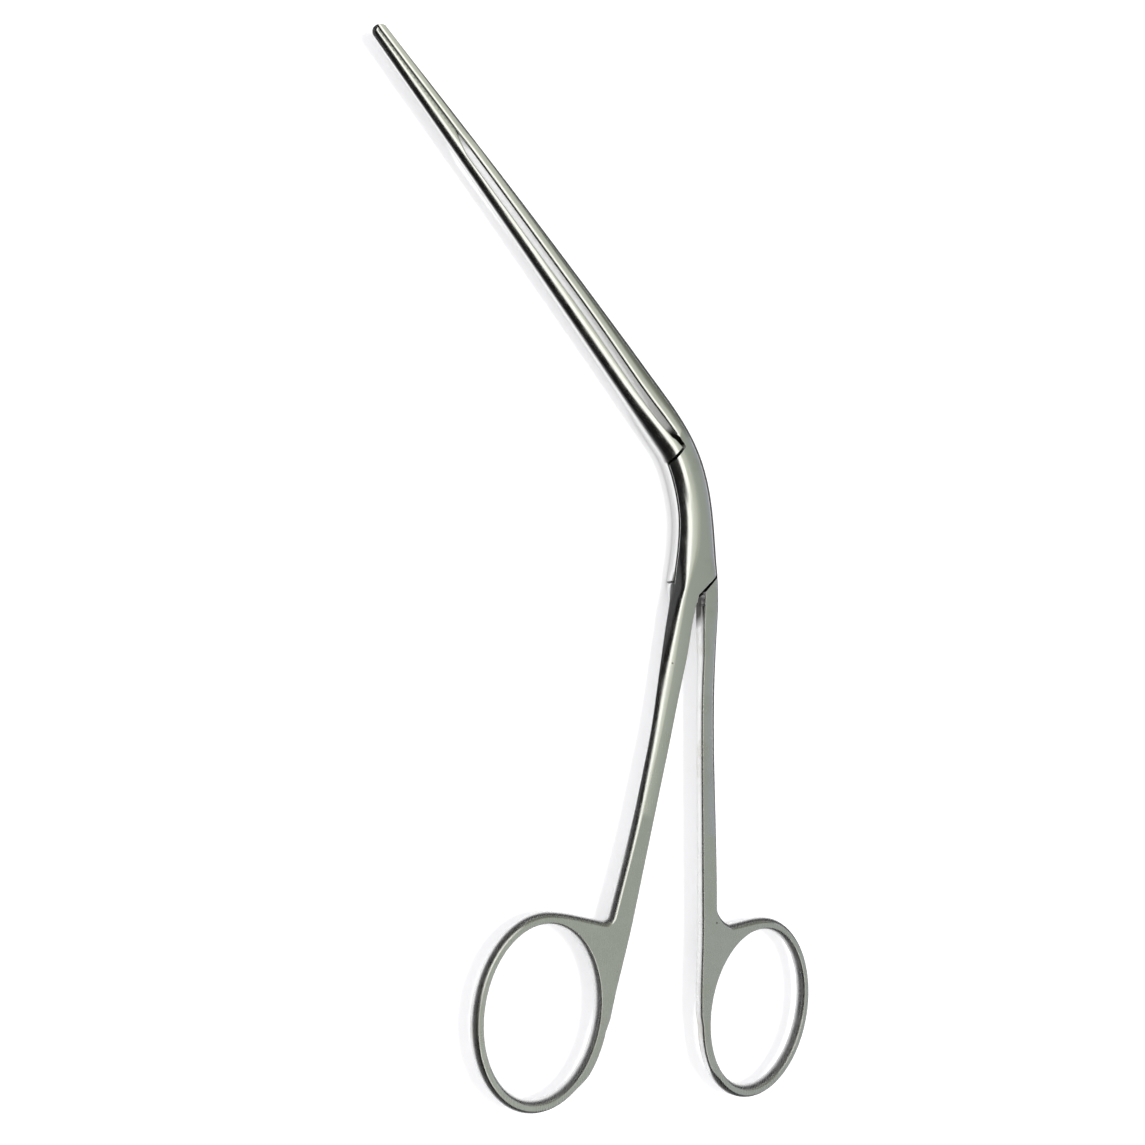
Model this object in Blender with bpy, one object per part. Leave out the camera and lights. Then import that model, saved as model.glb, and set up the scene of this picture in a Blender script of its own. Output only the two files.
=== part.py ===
"""Nasal dressing forceps with ring handles.

Two forged levers cross in a lap joint and turn on a flush rivet. The closed
pair is modelled as one forged body, which is then parted into the two levers,
so that their outlines run into each other as they do on the real pair.

The origin is on the pivot's axis, on the surface that the forceps lies on.
+Y runs from the finger rings along the handles, +Z is up, and the jaws lean
towards -X.
"""
import math

import bmesh
import bpy
from mathutils import Vector
from mathutils.geometry import delaunay_2d_cdt

MM = 0.001

# Overall plan, in millimetres
JAW_ANGLE = 50.6            # bend between the handles' axis and the jaws' axis
JAW_LENGTH = 87.2           # from the jaw root to the tip
JAW_ROOT_X = -4.47          # the jaws' axis and taper are measured from here
JAW_ROOT_Y = 12.6
HANDLE_AXIS_X = 1.15        # the handles are mirror images about this line

# Jaws
JAW_RIGHT_ROOT = 4.1        # from the jaws' axis to the right edge; the right edge is bowed
JAW_RIGHT_TIP = 1.1
JAW_LEFT_ROOT = 3.9
JAW_LEFT_TIP = 1.75
NOSE_LENGTH = 1.2
JAW_CROWN = 0.88            # how much of the half width the crown takes
NOSE_CROWN = 0.6
JAW_HALF_THICKNESS_ROOT = 2.1
JAW_HALF_THICKNESS_TIP = 1.0
BITE_GAP = 0.26             # between the closed teeth
BITE_TIP_ACROSS = -0.47     # the line of teeth leans to the left of the jaws' axis at the tip
TOOTH_PITCH = 0.85
TOOTH_DEPTH = 0.4
TEETH_START = 1.0           # plain nose in front of the first tooth
TEETH_LENGTH = 18.7
GROOVE_REACH = 0.62         # the jaws' meeting edges are rounded this far along the teeth
GROOVE_DEPTH = 0.36
RELIEF_GAP = 1.5            # between the jaws behind the teeth
RELIEF_OPENING = 4.5        # length over which the relief widens
RELIEF_ACROSS = -0.25       # middle of the relief
HEEL_GAP = 1.1
HEEL_ACROSS = -0.88         # middle of the gap at its heel
HEEL_START = 4.0
HEEL_BEND_START = 7.0       # the gap swings over to the left between these
HEEL_BEND_END = 33.0
JAW_HEEL = 1.5              # where the jaws' gap ends, in front of the jaw root
JAW_SWELL = 16.0            # the jaws grow thicker over this length, towards the joint
LEFT_BEND_START = 3.0       # where the straight left edge ends, in front of the jaw root
RIGHT_BEND_START = 11.0

# Joint
JOINT_LEFT = 3.85           # from the pivot to the joint's left edge
JOINT_RIGHT = 3.9
JOINT_LEFT_LEAN = -9.0      # degrees outwards from the handles' axis, at the pivot
JOINT_RIGHT_LEAN = 12.5
LEFT_BEND_FULLNESS = 0.8
RIGHT_BEND_FULLNESS = 1.25
JOINT_HALF_THICKNESS = 2.6
MID_HEIGHT = 2.6            # height of the plane that the two halves meet on
LAP_GAP = 0.3               # between the two halves
SHOULDER_GAP = 0.36         # between a half's edge and the other lever's shoulder
JOINT_ROUNDING = 3.2        # how far the crown reaches in from the edge
CROWN_ARC = (42.0, 90.0)    # degrees round its arc that the crown starts and ends at
BACK_ROUNDING = 0.6         # along all edges of the back
FRONT_JAW_SHOULDER = 104.0      # degrees from the jaws' axis to the shoulder at the jaws
BACK_JAW_SHOULDER = 130.0       # the same on the back, laid back to clear the front jaw
FRONT_SHANK_SHOULDER = 40.0     # degrees from the handles' axis to the shoulder at the shank
BACK_SHANK_SHOULDER = 68.0
CROTCH_Y = -13.8            # where the handles part
CROTCH_DEPTH = 1.2          # the forged body's own crotch lies this much lower
CUT_CLEARANCE = 0.5         # how far a cutter keeps off an edge that it passes

# Rivet
RIVET_RADIUS = 1.5
RIVET_HEAD_RADIUS = 1.9
RIVET_HEAD_DEPTH = 0.9
RIVET_SKIN = 0.9            # metal left over the rivet's blind end
RIVET_CLEARANCE = 0.06

# Handles
SHANK_WIDTH = 4.25
SHANK_WIDTH_RING = 4.1
SHANK_SPLAY = 7.2           # degrees from the handles' axis
SHANK_INSIDE = 0.35         # how far the shanks stand inwards of the rings' tangent
SHANK_BOW_RADIUS = 680.0
SHANK_BOW_Y = -44.0         # the bow towards the joint begins here
SHANK_HALF_THICKNESS = 1.5
SHANK_ROUNDING = 1.8
SHANK_ARC = (46.0, 80.0)    # the shanks have a nearly straight flank and a flat top
SHANK_FLANK = 0.75          # upright part of the shanks\' sides, at the back
FLANK_START = 8.0           # the whole side leans from here on
FLANK_END = 17.0
SHANK_SWELL_START = 9.0     # the shanks thin down from here, below the pivot
SHANK_SWELL_END = 34.0
CROWN_END = 66.0            # here the crowned outside has become a rounded edge
JAW_ARC_START = 30.0
INNER_ROUNDING = 0.45       # along the edges that face the other handle
INNER_RISE = 0.7
INNER_ARC = (25.0, 65.0)

# Finger rings
RING_OUT = 21.8             # from the handles' axis to the ring's centre
RING_DOWN = 84.6            # from the pivot to the ring's centre
RING_HALF_LENGTH = 13.6
RING_HALF_WIDTH = 10.3
RING_BAND = 1.8
RING_ROUNDING = 1.05         # how far the rounded edge reaches in, and down
RING_RISE = 1.9
RING_ARC = (12.0, 75.0)
RING_LEAN = 5.4             # degrees, the top outwards
RING_EDGE = 0.6             # how far the hole's rim opens, and over what height
RING_EDGE_RISE = 1.4
NOTCH_Y = 70.6              # the plate between shank and ring ends here, below the pivot
NOTCH_FRONT = 0.9           # size of the fillet between the front lever's shank and plate
NOTCH_BACK = 3.2
NOTCH_DIP = 0.4             # how much lower the rear lever's notch lies
PLATE_ANGLE = -4.0          # degrees from the ring's top, where the plate runs into the ring

# Facets
CROWN_STEPS = 7             # from the upright side to the crown's top
BACK_STEPS = 3
RING_STEPS = 60
BEND_STEPS = 14             # for each half of the joint's outline
NOTCH_STEPS = 6
JAW_STEPS = 8
SHANK_STEPS = 9
NOSE_STEPS = 10

JAW_DIR = Vector((-math.sin(math.radians(JAW_ANGLE)), math.cos(math.radians(JAW_ANGLE))))
JAW_ACROSS = Vector((JAW_DIR.y, -JAW_DIR.x))
ROOT = Vector((JAW_ROOT_X, JAW_ROOT_Y))
NOSE_START = JAW_LENGTH - NOSE_LENGTH
FAR = 60.0                  # how far a cutter reaches past the part


def clear_scene():
    for old in list(bpy.data.objects):
        bpy.data.objects.remove(old, do_unlink=True)


def smooth_step(value, low, high):
    """0 below low, 1 above high, and a smooth rise between them."""
    t = min(max((value - low) / (high - low), 0.0), 1.0)
    return t * t * (3.0 - 2.0 * t)


def mix(a, b, t):
    return a + (b - a) * t


def curve(start, start_dir, end, end_dir, steps, fullness=0.75):
    """Points between start and end on a smooth curve that is tangent to both directions."""
    pull = (end - start).length * fullness
    result = []
    for i in range(1, steps):
        t = i / steps
        h1 = 2 * t ** 3 - 3 * t ** 2 + 1
        h2 = t ** 3 - 2 * t ** 2 + t
        h3 = 3 * t ** 2 - 2 * t ** 3
        h4 = t ** 3 - t ** 2
        result.append(start * h1 + start_dir * pull * h2 + end * h3 + end_dir * pull * h4)
    return result


def down_by(side, degrees):
    """Direction down the handles, leaning outwards on the given side."""
    a = math.radians(degrees)
    return Vector((side * math.sin(a), -math.cos(a)))


def jaw_point(along, across):
    """A point given along the jaws' axis from the root and across it to the right."""
    return ROOT + JAW_DIR * along + JAW_ACROSS * across


def jaw_edge_across(side, along):
    """Distance of the closed jaws' outer edge from their axis."""
    t = along / JAW_LENGTH
    if side > 0:
        return mix(JAW_RIGHT_ROOT, JAW_RIGHT_TIP, t * t)
    return mix(JAW_LEFT_TIP, JAW_LEFT_ROOT, (1.0 - t) ** 1.5)


# Ring outlines

def ring_point(side, angle, grow=0.0):
    """A point on the ring's inner ellipse, grown by grow; angle 0 is its top end."""
    lean = math.radians(RING_LEAN)
    along = (RING_HALF_LENGTH + grow) * math.cos(angle)
    out = (RING_HALF_WIDTH + grow) * math.sin(angle)
    x = RING_OUT + along * math.sin(lean) + out * math.cos(lean)
    y = -RING_DOWN + along * math.cos(lean) - out * math.sin(lean)
    return Vector((HANDLE_AXIS_X + side * x, y))


def shank_tangent_angle():
    """Where the shank's straight inner edge touches the ring's outer ellipse."""
    splay = math.radians(SHANK_SPLAY + RING_LEAN)
    long_axis = RING_HALF_LENGTH + RING_BAND
    short_axis = RING_HALF_WIDTH + RING_BAND
    return math.atan2(-short_axis * math.cos(splay), -long_axis * math.sin(splay))


def shank_inner(y):
    """Distance of the shank's inner edge from the handles' axis."""
    touch = ring_point(1, shank_tangent_angle(), RING_BAND)
    slope = math.tan(math.radians(SHANK_SPLAY))
    x = touch.x - HANDLE_AXIS_X - slope * (y - touch.y)
    bow = max(y - SHANK_BOW_Y, 0.0)
    return x + bow ** 2 / (2.0 * SHANK_BOW_RADIUS) - SHANK_INSIDE


def shank_outer(y):
    top = CROTCH_Y
    ring_top = -RING_DOWN + RING_HALF_LENGTH
    near_ring = smooth_step(top - y, 0.55 * (top - ring_top), top - ring_top)
    return shank_inner(y) + mix(SHANK_WIDTH, SHANK_WIDTH_RING, near_ring)


def shank_point(side, y, outer):
    x = shank_outer(y) if outer else shank_inner(y)
    return Vector((HANDLE_AXIS_X + side * x, y))


# Plan of the closed forceps

def handle_outline(side, notch, notch_y):
    """One handle's edge: down the outside, round the ring and up the inside to the crotch."""
    top = CROTCH_Y - 1.0
    shank_end = notch_y + notch
    points = [shank_point(side, mix(top, shank_end, i / SHANK_STEPS), True) for i in range(SHANK_STEPS + 1)]
    down = (points[-1] - points[-2]).normalized()
    corner = shank_point(side, notch_y, True)
    first = math.radians(PLATE_ANGLE)
    ring_start = ring_point(side, first, RING_BAND)
    round_ring = (ring_point(side, first + 0.01, RING_BAND) - ring_start).normalized()
    outward = (ring_start - corner).normalized()
    plate = corner + outward * notch
    points += curve(points[-1], down, plate, outward, NOTCH_STEPS)
    points.append(plate)
    points += curve(plate, outward, ring_start, round_ring, NOTCH_STEPS, 1.0)
    last = shank_tangent_angle() + 2.0 * math.pi
    for i in range(RING_STEPS + 1):
        points.append(ring_point(side, mix(first, last, i / RING_STEPS), RING_BAND))
    bottom = points[-1].y
    for i in range(1, SHANK_STEPS + 1):
        points.append(shank_point(side, mix(bottom, CROTCH_Y - CROTCH_DEPTH, i / SHANK_STEPS), False))
    return points


def side_outline(side):
    """One side's edge of the closed forceps, from the nose down to the crotch."""
    start, joint_x, lean, fullness = {
        -1: (LEFT_BEND_START, JOINT_LEFT, JOINT_LEFT_LEAN, LEFT_BEND_FULLNESS),
        1: (RIGHT_BEND_START, JOINT_RIGHT, JOINT_RIGHT_LEAN, RIGHT_BEND_FULLNESS),
    }[side]
    points = []
    for i in range(JAW_STEPS + 1):
        along = mix(NOSE_START, start, i / JAW_STEPS)
        points.append(jaw_point(along, side * jaw_edge_across(side, along)))
    notch, notch_y = (NOTCH_FRONT, -NOTCH_Y) if side < 0 else (NOTCH_BACK, -NOTCH_Y - NOTCH_DIP)
    handle = handle_outline(side, notch, notch_y)
    middle = Vector((side * joint_x, 0.0))
    straight = (points[-1] - points[-2]).normalized()
    points += curve(points[-1], straight, middle, down_by(side, lean), BEND_STEPS, fullness)
    points.append(middle)
    shank_dir = (handle[1] - handle[0]).normalized()
    points += curve(middle, down_by(side, lean), handle[0], shank_dir, BEND_STEPS, 1.0)
    return points + handle


def forceps_outline():
    """Closed outline of the closed forceps, anticlockwise seen from above."""
    left = side_outline(-1)
    right = side_outline(1)
    nose = []
    low = -jaw_edge_across(-1, NOSE_START)
    high = jaw_edge_across(1, NOSE_START)
    for i in range(1, NOSE_STEPS):
        angle = math.pi * i / NOSE_STEPS
        across = 0.5 * (high + low) + 0.5 * (high - low) * math.cos(angle)
        nose.append(jaw_point(NOSE_START + NOSE_LENGTH * math.sin(angle), across))
    return left + right[::-1] + nose


def half_thickness(p):
    """Half the body's thickness at a point of the plan."""
    along = (p - ROOT).dot(JAW_DIR)
    jaw = mix(JAW_HALF_THICKNESS_ROOT, JAW_HALF_THICKNESS_TIP, min(max(along / JAW_LENGTH, 0.0), 1.0))
    in_jaw = smooth_step(along, 0.0, JAW_SWELL)
    in_handle = smooth_step(-p.y, SHANK_SWELL_START, SHANK_SWELL_END)
    height = mix(JOINT_HALF_THICKNESS, jaw, in_jaw)
    return mix(height, SHANK_HALF_THICKNESS, in_handle)


def rounding(p):
    """How far the crown reaches in from the edge at a point of the plan."""
    along = min(max((p - ROOT).dot(JAW_DIR), 0.0), JAW_LENGTH)
    half_width = 0.5 * (jaw_edge_across(-1, along) + jaw_edge_across(1, along))
    share = mix(NOSE_CROWN, JAW_CROWN, smooth_step(JAW_LENGTH - along, 0.0, 8.0))
    jaw = min(share * half_width, JOINT_ROUNDING)
    neck = mix(jaw, SHANK_ROUNDING, smooth_step(p.y / CROTCH_Y, 0.3, 1.0))
    return mix(neck, RING_ROUNDING, near_ring(p))


def near_ring(p):
    return smooth_step(-p.y, SHANK_SWELL_END, CROWN_END)


def inside_edge(p):
    """1 on a handle's inner edge, 0 on all outer edges."""
    if p.y > CROTCH_Y:
        return 0.0
    return smooth_step((shank_outer(p.y) - abs(p.x - HANDLE_AXIS_X)) / SHANK_WIDTH, 0.1, 0.6)


def crown_arc(p):
    """Angles round its arc that the crown starts and ends at."""
    in_jaw = smooth_step((p - ROOT).dot(JAW_DIR), 0.0, JAW_SWELL)
    in_handle = smooth_step(-p.y, SHANK_SWELL_START, SHANK_SWELL_END)
    ring = near_ring(p)
    start = mix(mix(CROWN_ARC[0], JAW_ARC_START, in_jaw), SHANK_ARC[0], in_handle)
    end = mix(CROWN_ARC[1], SHANK_ARC[1], in_handle)
    return math.radians(mix(start, RING_ARC[0], ring)), math.radians(mix(end, RING_ARC[1], ring))


def edge_profile(p):
    """The edge's section at a point of the plan, from the back up: pairs of inset and height."""
    half = half_thickness(p)
    inside = inside_edge(p)
    reach = mix(rounding(p), INNER_ROUNDING, inside)
    in_handle = smooth_step(-p.y, FLANK_START, FLANK_END)
    rise = mix(mix(half, 2.0 * half - SHANK_FLANK, in_handle), RING_RISE, near_ring(p))
    rise = mix(rise, mix(INNER_ROUNDING, INNER_RISE, in_handle), inside)
    first, last = crown_arc(p)
    first = mix(first, math.radians(INNER_ARC[0]), inside)
    last = mix(last, math.radians(INNER_ARC[1]), inside)
    profile = []
    for i in range(BACK_STEPS + 1):
        angle = 0.5 * math.pi * i / BACK_STEPS
        profile.append((BACK_ROUNDING * (1.0 - math.sin(angle)), BACK_ROUNDING * (1.0 - math.cos(angle)) - half))
    for i in range(CROWN_STEPS + 1):
        angle = mix(first, last, i / CROWN_STEPS)
        inset = reach * (math.cos(first) - math.cos(angle)) / (math.cos(first) - math.cos(last))
        height = rise * (math.sin(angle) - math.sin(first)) / (math.sin(last) - math.sin(first))
        profile.append((inset, half - rise + height))
    return profile


# Mesh building

def new_object(name, mesh_data, material):
    mesh = bpy.data.meshes.new(name)
    mesh_data.to_mesh(mesh)
    mesh_data.free()
    mesh.materials.append(material)
    obj = bpy.data.objects.new(name, mesh)
    bpy.context.scene.collection.objects.link(obj)
    return obj


def bridge_loops(bm, first, second):
    count = len(first)
    for i in range(count):
        j = (i + 1) % count
        bm.faces.new((first[i], first[j], second[j], second[i]))


def forged_body():
    """The closed forceps as one body with crowned sides."""
    outline = forceps_outline()
    count = len(outline)
    inward = []
    for i in range(count):
        direction = (outline[(i + 1) % count] - outline[i - 1]).normalized()
        inward.append(Vector((-direction.y, direction.x)))
    profiles = [edge_profile(p) for p in outline]
    bm = bmesh.new()
    loops = []
    for level in range(len(profiles[0])):
        loop = []
        for p, n, profile in zip(outline, inward, profiles):
            inset, height = profile[level]
            q = p + n * inset
            loop.append(bm.verts.new((q.x * MM, q.y * MM, (MID_HEIGHT + height) * MM)))
        loops.append(loop)
    for lower, upper in zip(loops, loops[1:]):
        bridge_loops(bm, lower, upper)
    fill(bm, loops[0], True)
    fill(bm, loops[-1], False)
    return bm


def fill(bm, loop, below):
    """Close one face of the body."""
    plan = [Vector((v.co.x, v.co.y)) / MM for v in loop]
    _, _, triangles, origin, _, _ = delaunay_2d_cdt(plan, [], [list(range(len(loop)))], 1, 1e-7)
    for corners in triangles:
        ids = [origin[c][0] for c in corners]
        bm.faces.new([loop[i] for i in (reversed(ids) if below else ids)])


def prism(name, points, low, high):
    """A hidden cutter: the outline points between two heights."""
    area = sum(a.x * b.y - b.x * a.y for a, b in zip(points, points[1:] + points[:1]))
    if area < 0.0:
        points = points[::-1]
    bm = bmesh.new()
    bottom = [bm.verts.new((p.x * MM, p.y * MM, low * MM)) for p in points]
    top = [bm.verts.new((p.x * MM, p.y * MM, high * MM)) for p in points]
    bridge_loops(bm, bottom, top)
    bm.faces.new(bottom[::-1])
    bm.faces.new(top)
    return hidden(name, bm)


def hidden(name, bm):
    mesh = bpy.data.meshes.new(name)
    bm.to_mesh(mesh)
    bm.free()
    cutter = bpy.data.objects.new(name, mesh)
    cutter.hide_render = True
    cutter.display_type = 'WIRE'
    bpy.context.scene.collection.objects.link(cutter)
    return cutter


def cut(target, cutter, solver='EXACT'):
    modifier = target.modifiers.new(cutter.name, 'BOOLEAN')
    modifier.operation = 'DIFFERENCE'
    modifier.solver = solver
    modifier.object = cutter


def turned(name, profile, steps):
    """A solid of revolution about the pivot's axis; the profile is (radius, height)."""
    bm = bmesh.new()
    loops = []
    for radius, height in profile:
        loop = []
        for i in range(steps):
            angle = 2.0 * math.pi * i / steps
            loop.append(bm.verts.new((radius * math.cos(angle) * MM, radius * math.sin(angle) * MM, height * MM)))
        loops.append(loop)
    for lower, upper in zip(loops, loops[1:]):
        bridge_loops(bm, lower, upper)
    bm.faces.new(loops[0][::-1])
    bm.faces.new(loops[-1])
    return bm


# Parting lines

def meet(p, p_dir, q, q_dir):
    """Crossing point of two lines in the plan."""
    det = p_dir.x * q_dir.y - p_dir.y * q_dir.x
    t = ((q.x - p.x) * q_dir.y - (q.y - p.y) * q_dir.x) / det
    return p + p_dir * t


def turn(direction, degrees):
    a = math.radians(degrees)
    return Vector((direction.x * math.cos(a) - direction.y * math.sin(a),
                   direction.x * math.sin(a) + direction.y * math.cos(a)))


def bite_across(along):
    """Where the line of teeth lies across the jaws' axis."""
    end = JAW_LENGTH - TEETH_START - TEETH_LENGTH
    return BITE_TIP_ACROSS * (along - end) / (JAW_LENGTH - end)


def relief_edge(side, along):
    """Edge of the relief behind the teeth, across the jaws' axis."""
    heel = 1.0 - smooth_step(along, HEEL_BEND_START, HEEL_BEND_END)
    narrow = 1.0 - smooth_step(along, HEEL_START, HEEL_BEND_START)
    return mix(RELIEF_ACROSS, HEEL_ACROSS, heel) + side * 0.5 * mix(RELIEF_GAP, HEEL_GAP, narrow)


def jaw_edge(side):
    """Inner edge of one jaw, from past the tip to the heel of the relief."""
    half = side * 0.5 * BITE_GAP
    along = JAW_LENGTH - TEETH_START
    points = [jaw_point(along + FAR, bite_across(along) + half)]
    teeth = round(TEETH_LENGTH / TOOTH_PITCH)
    points.append(jaw_point(along, bite_across(along) + half))
    for _ in range(teeth):
        valley = along - 0.5 * TOOTH_PITCH
        along -= TOOTH_PITCH
        points.append(jaw_point(valley, bite_across(valley) + half - TOOTH_DEPTH))
        points.append(jaw_point(along, bite_across(along) + half))
    along -= RELIEF_OPENING
    steps = 12
    for i in range(steps + 1):
        place = mix(along, HEEL_START, i / steps)
        points.append(jaw_point(place, relief_edge(side, place)))
    return points


def jaw_shoulder(side, offset):
    """Line of the shoulder at one jaw: a point on it and its direction outwards."""
    outward = turn(JAW_DIR, -side * (BACK_JAW_SHOULDER if side > 0 else FRONT_JAW_SHOULDER))
    toward_jaw = turn(outward, side * 90.0)
    return jaw_point(JAW_HEEL, 0.0) + toward_jaw * offset, outward


def handle_shoulder(side, offset):
    """Line of the shoulder at one shank: a point on it and its direction outwards."""
    degrees = FRONT_SHANK_SHOULDER if side > 0 else BACK_SHANK_SHOULDER
    outward = Vector((side * math.sin(math.radians(degrees)), math.cos(math.radians(degrees))))
    toward_shank = turn(outward, -side * 90.0)
    start = shank_point(-side, CROTCH_Y, False)
    return start + toward_shank * offset, outward


def shank_inner_edge(side, top):
    """Edge of the cut below a shoulder: down one shank's inner edge, then clear of it."""
    low = CROTCH_Y - CROTCH_DEPTH
    steps = 4
    points = [shank_point(side, mix(top, low + 0.6 * CUT_CLEARANCE, i / steps), False) for i in range(steps + 1)]
    points.append(Vector((HANDLE_AXIS_X + side * (shank_inner(low) - CUT_CLEARANCE), low - CUT_CLEARANCE)))
    points.append(Vector((HANDLE_AXIS_X, -RING_DOWN - FAR)))
    return points


def shank_meets(side, start, direction):
    """Height at which a shoulder line crosses one shank's inner edge."""
    point = start.copy()
    for _ in range(20):
        x = HANDLE_AXIS_X + side * shank_inner(point.y)
        point = start + direction * ((x - start.x) / direction.x)
    return point


def parting_outlines(side):
    """Plans of what is cut from the lever whose jaw is on the given side.

    The first two are cut from the half that spans the joint, the third from
    the half that gives way to the other lever. Side +1 is the front lever,
    with the right jaw and the left shank.
    """
    half_gap = 0.5 * SHOULDER_GAP
    edge = jaw_edge(side)
    last = edge[-1]
    last_dir = (edge[-1] - edge[-2]).normalized()
    other = -side
    far_side = Vector((other * FAR * 2.5, 0.0))
    far_own = Vector((side * FAR * 2.5, 0.0))

    shoulder, outward = jaw_shoulder(other, -half_gap)
    heel = meet(last, last_dir, shoulder, outward)
    past = heel + outward * FAR
    jaw_side = edge + [heel, past, past + JAW_DIR * 2.0 * FAR]

    shoulder, outward = handle_shoulder(side, -half_gap)
    crotch = shank_meets(other, shoulder, outward)
    inner = shank_inner_edge(other, crotch.y)
    inner[0] = crotch
    past = crotch + outward * FAR
    shank_side = [past] + inner + [Vector((far_own.x, inner[-1].y)), Vector((far_own.x, past.y))]

    shoulder, outward = jaw_shoulder(side, half_gap)
    heel = meet(last, last_dir, shoulder, outward)
    past = heel + outward * FAR
    lap = edge + [heel, past, Vector((far_own.x, past.y))]
    shoulder, outward = handle_shoulder(other, half_gap)
    crotch = shank_meets(other, shoulder, outward)
    inner = shank_inner_edge(other, crotch.y)
    inner[0] = crotch
    lap += [Vector((far_own.x, inner[-1].y))] + inner[::-1]
    past = crotch + outward * FAR
    lap += [past, Vector((far_side.x, past.y)), far_side + JAW_DIR * 3.0 * FAR]
    lap[-1] = Vector((far_side.x, edge[0].y + FAR))
    lap.append(Vector((edge[0].x, edge[0].y + FAR)))
    return jaw_side, shank_side, lap


def groove(name):
    """Cutter that rounds the jaws' meeting edges on the front, along the teeth."""
    steps = 4
    teeth_end = JAW_LENGTH - TEETH_START - TEETH_LENGTH
    bm = bmesh.new()
    loops = []
    for along, size in ((JAW_LENGTH + NOSE_LENGTH, 1.0), (teeth_end, 1.0), (teeth_end - RELIEF_OPENING, 0.1)):
        top = MID_HEIGHT + half_thickness(jaw_point(along, 0.0))
        middle = bite_across(along)
        loop = []
        for i in range(-steps, steps + 1):
            reach = size * GROOVE_REACH * i / steps
            drop = size * GROOVE_DEPTH * (1.0 - math.sqrt(1.0 - (1.0 - abs(i) / steps) ** 2))
            p = jaw_point(along, middle + reach)
            loop.append(bm.verts.new((p.x * MM, p.y * MM, (top - drop) * MM)))
        for across in (size * GROOVE_REACH, -size * GROOVE_REACH):
            p = jaw_point(along, middle + across)
            loop.append(bm.verts.new((p.x * MM, p.y * MM, (top + 1.0) * MM)))
        loops.append(loop)
    for first, second in zip(loops, loops[1:]):
        bridge_loops(bm, first, second)
    bm.faces.new(loops[0][::-1])
    bm.faces.new(loops[-1])
    bmesh.ops.recalc_face_normals(bm, faces=bm.faces[:])
    return hidden(name, bm)


def finger_hole(name, side):
    """Cutter for a finger ring's hole, with a rounded rim at both faces."""
    steps = 5
    levels = [(MID_HEIGHT - SHANK_HALF_THICKNESS - 2.0, RING_EDGE)]
    for i in range(steps + 1):
        angle = 0.5 * math.pi * i / steps
        inset = RING_EDGE * (1.0 - math.sin(angle))
        levels.append((MID_HEIGHT - SHANK_HALF_THICKNESS + RING_EDGE_RISE * (1.0 - math.cos(angle)), inset))
    upper = [(2.0 * MID_HEIGHT - height, inset) for height, inset in levels[::-1]]
    bm = bmesh.new()
    loops = []
    for height, inset in levels + upper:
        loop = []
        for i in range(RING_STEPS):
            p = ring_point(side, -side * 2.0 * math.pi * i / RING_STEPS, inset)
            loop.append(bm.verts.new((p.x * MM, p.y * MM, height * MM)))
        loops.append(loop)
    for lower, above in zip(loops, loops[1:]):
        bridge_loops(bm, lower, above)
    bm.faces.new(loops[0][::-1])
    bm.faces.new(loops[-1])
    return hidden(name, bm)


# Materials

def steel(name, colour, roughness):
    material = bpy.data.materials.new(name)
    material.use_nodes = True
    shader = material.node_tree.nodes["Principled BSDF"]
    shader.inputs["Base Color"].default_value = (*colour, 1.0)
    shader.inputs["Metallic"].default_value = 1.0
    shader.inputs["Roughness"].default_value = roughness
    return material


def shade(obj):
    obj.data.shade_smooth()
    obj.data.set_sharp_from_angle(angle=math.radians(32.0))


# Pieces

def rivet_profile(grow):
    top = MID_HEIGHT + JOINT_HALF_THICKNESS - RIVET_SKIN
    return [
        (RIVET_HEAD_RADIUS + grow, 0.0 if grow == 0.0 else -1.0),
        (RIVET_HEAD_RADIUS + grow, 0.15),
        (RIVET_RADIUS + grow, RIVET_HEAD_DEPTH),
        (RIVET_RADIUS + grow, top + grow),
    ]


def build_lever(name, side, material):
    """side +1: right jaw, front half of the joint and left handle; -1: the other lever."""
    body = new_object(name, forged_body(), material)
    shade(body)
    jaw_side, shank_side, lap = parting_outlines(side)
    split = MID_HEIGHT + side * 0.5 * LAP_GAP
    outer = MID_HEIGHT + side * 2.0 * JOINT_HALF_THICKNESS
    inner = MID_HEIGHT - side * 2.0 * JOINT_HALF_THICKNESS
    overlap = side * 0.05
    cut(body, prism(name + "_jaw_parting", jaw_side, *sorted((split - overlap, outer))), 'MANIFOLD')
    cut(body, prism(name + "_shank_parting", shank_side, *sorted((split - overlap, outer))), 'MANIFOLD')
    cut(body, prism(name + "_lap", lap, *sorted((inner, split))), 'MANIFOLD')
    cut(body, groove(name + "_groove"), 'MANIFOLD')
    cut(body, finger_hole(name + "_finger_hole", -side))
    bore = turned(name + "_bore", rivet_profile(RIVET_CLEARANCE), 40)
    cut(body, hidden(name + "_bore", bore))
    return body


def build_rivet(material):
    rivet = new_object("pivot_rivet", turned("pivot_rivet", rivet_profile(0.0), 40), material)
    shade(rivet)
    return rivet


def main():
    clear_scene()
    satin = steel("satin_stainless", (0.62, 0.63, 0.60), 0.28)
    polished = steel("polished_stainless", (0.66, 0.67, 0.66), 0.16)
    build_lever("front_lever", 1, satin)
    build_lever("rear_lever", -1, satin.copy())
    build_rivet(polished)


main()
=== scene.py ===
"""Nasal dressing forceps, dressed: two forged levers, the rivet, and a pale studio."""
import math

import bmesh
import bpy
from mathutils import Matrix, Vector
from mathutils.geometry import delaunay_2d_cdt


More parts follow.
